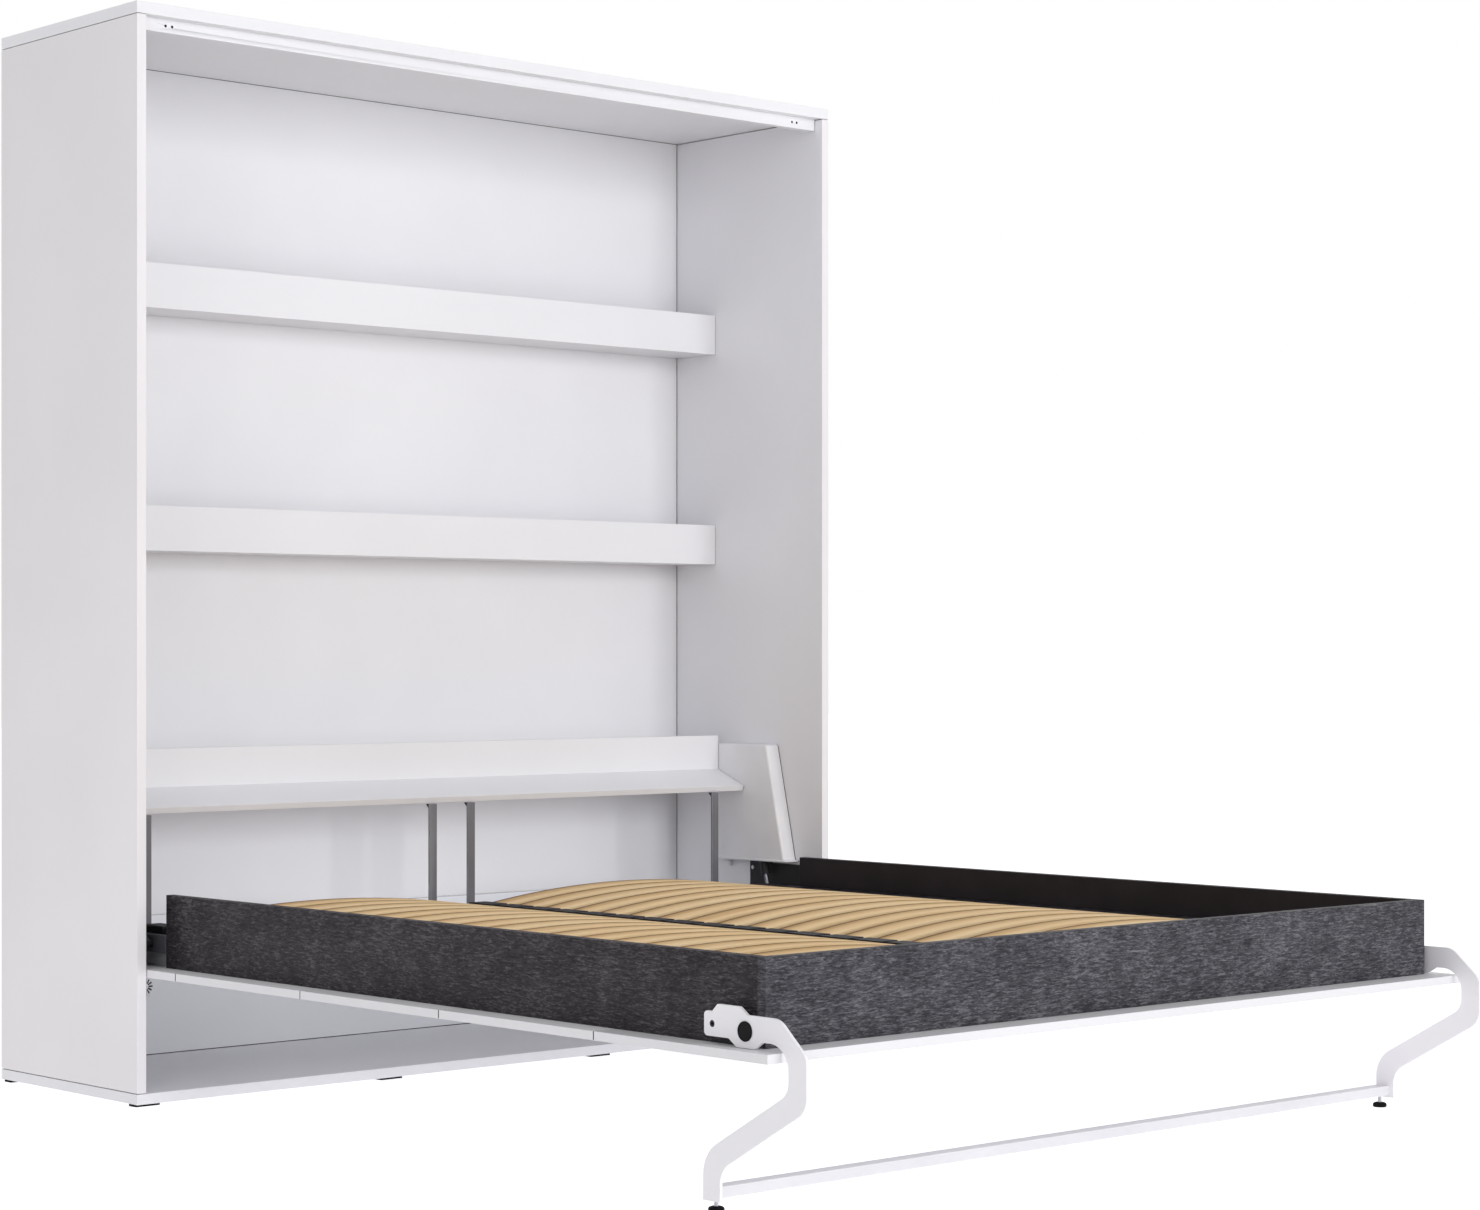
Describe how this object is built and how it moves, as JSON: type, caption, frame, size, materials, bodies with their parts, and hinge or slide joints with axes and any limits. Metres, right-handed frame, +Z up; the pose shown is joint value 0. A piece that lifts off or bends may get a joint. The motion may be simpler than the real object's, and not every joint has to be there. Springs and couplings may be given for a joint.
{
  "type": "wall bed",
  "caption": "Wall bed shown lowered: open cabinet with shelf beams, box bed with sprung slats on a plank panel, gas springs and a folding U-shaped leg frame.",
  "frame": {"origin": "on the floor under the middle of the whole footprint, with the bed lowered", "axes": "+X across the bed to the right seen from its foot, +Y from the bed's foot into the wall, +Z up"},
  "size_m": [2, 2.473, 2.285],
  "materials": {
    "white_board": "white melamine-faced board",
    "graphite_board": "dark speckled melamine-faced board",
    "slat_wood": "clear-coated bent birch",
    "black_plastic": "moulded matte black",
    "foot_plastic": "moulded matte black",
    "white_plastic": "moulded matte white",
    "frame_steel": "black powder coat",
    "black_steel": "black powder coat",
    "grey_steel": "grey powder coat",
    "leg_steel": "white powder coat",
    "rod_chrome": "ground and chromed",
    "fastener_steel": "zinc-plated steel"
  },
  "bodies": {
    "cabinet": {"anchor_studs": "fastener_steel", "back_panel_lower": "white_board", "back_panel_upper": "white_board", "bottom_board": "white_board", "cabinet_screws": "fastener_steel", "cover_clips": "white_plastic", "glide_pads": "foot_plastic", "headboard_lip": "white_board", "hinge_pins": "fastener_steel", "hinge_plate_left": "black_steel", "hinge_plate_right": "black_steel", "shelf_board_1": "white_board", "shelf_board_2": "white_board", "shelf_board_3": "white_board", "shelf_fascia_1": "white_board", "shelf_fascia_2": "white_board", "shelf_fascia_3": "white_board", "side_panel_left": "white_board", "side_panel_right": "white_board", "spring_cover_left": "white_plastic", "spring_cover_right": "white_plastic", "stop_rail": "white_board", "top_board": "white_board", "vent_grommet": "white_plastic", "wall_brackets": "fastener_steel"},
    "bed": {"box_foot_board": "graphite_board", "box_side_left": "graphite_board", "box_side_right": "graphite_board", "frame_bolts": "fastener_steel", "frame_centre_beam": "frame_steel", "frame_foot_rail": "frame_steel", "frame_head_rail": "frame_steel", "frame_rail_left": "frame_steel", "frame_rail_right": "frame_steel", "front_plank_1": "white_board", "front_plank_2": "white_board", "front_plank_3": "white_board", "front_plank_4": "white_board", "front_plank_5": "white_board", "hinge_arm_left": "frame_steel", "hinge_arm_right": "frame_steel", "leg_pivots": "fastener_steel", "lever_studs": "fastener_steel", "mattress_stops": "grey_steel", "slat_holders_centre": "black_plastic", "slat_holders_side": "black_plastic", "slats_left": "slat_wood", "slats_right": "slat_wood", "stop_lugs": "black_plastic"},
    "leg_frame": {"leg_plate_left": "leg_steel", "leg_plate_right": "leg_steel", "leg_crossbar": "leg_steel", "leg_caps": "black_plastic"},
    "spring_cylinder_left": {"spring_cylinder_left": "black_steel"},
    "spring_cylinder_right": {"spring_cylinder_right": "black_steel"},
    "spring_rod_left": {"spring_rod_left": "rod_chrome"},
    "spring_rod_right": {"spring_rod_right": "rod_chrome"},
    "levelling_foot_left": {"levelling_foot_left": "foot_plastic"},
    "levelling_foot_right": {"levelling_foot_right": "foot_plastic"}
  },
  "joints": [
    {"name": "bed_tilt", "type": "hinge", "parent": "cabinet", "child": "bed", "pos_m": [0, 0.7505, 0.331], "axis": [-1, 0, 0], "range_deg": [0, 90]},
    {"name": "leg_fold", "type": "hinge", "parent": "bed", "child": "leg_frame", "pos_m": [0, -1.0105, 0.318], "axis": [-1, 0, 0], "range_deg": [0, 178.3]},
    {"name": "spring_swing_left", "type": "hinge", "parent": "cabinet", "child": "spring_cylinder_left", "pos_m": [-0.955, 0.9215, 0.63], "axis": [-1, 0, 0], "range_deg": [0, 11.6]},
    {"name": "spring_stroke_left", "type": "slide", "parent": "spring_cylinder_left", "child": "spring_rod_left", "axis": [0, -0.2239, -0.9746], "range_m": [0, 0.1212]},
    {"name": "spring_swing_right", "type": "hinge", "parent": "cabinet", "child": "spring_cylinder_right", "pos_m": [0.955, 0.9215, 0.63], "axis": [-1, 0, 0], "range_deg": [0, 11.6]},
    {"name": "spring_stroke_right", "type": "slide", "parent": "spring_cylinder_right", "child": "spring_rod_right", "axis": [0, -0.2239, -0.9746], "range_m": [0, 0.1212]},
    {"name": "foot_adjust_left", "type": "slide", "parent": "leg_frame", "child": "levelling_foot_left", "axis": [0, 0, -1], "range_m": [0, 0.01]},
    {"name": "foot_adjust_right", "type": "slide", "parent": "leg_frame", "child": "levelling_foot_right", "axis": [0, 0, -1], "range_m": [0, 0.01]}
  ],
  "couplings": [
    {"joint": "leg_fold", "follows": "bed_tilt", "ratio": 1.98},
    {"joint": "spring_swing_left", "follows": "bed_tilt", "ratio": 0.12734},
    {"joint": "spring_stroke_left", "follows": "bed_tilt", "m_per_rad": 0.077084},
    {"joint": "spring_swing_right", "follows": "bed_tilt", "ratio": 0.12734},
    {"joint": "spring_stroke_right", "follows": "bed_tilt", "m_per_rad": 0.077084}
  ]
}
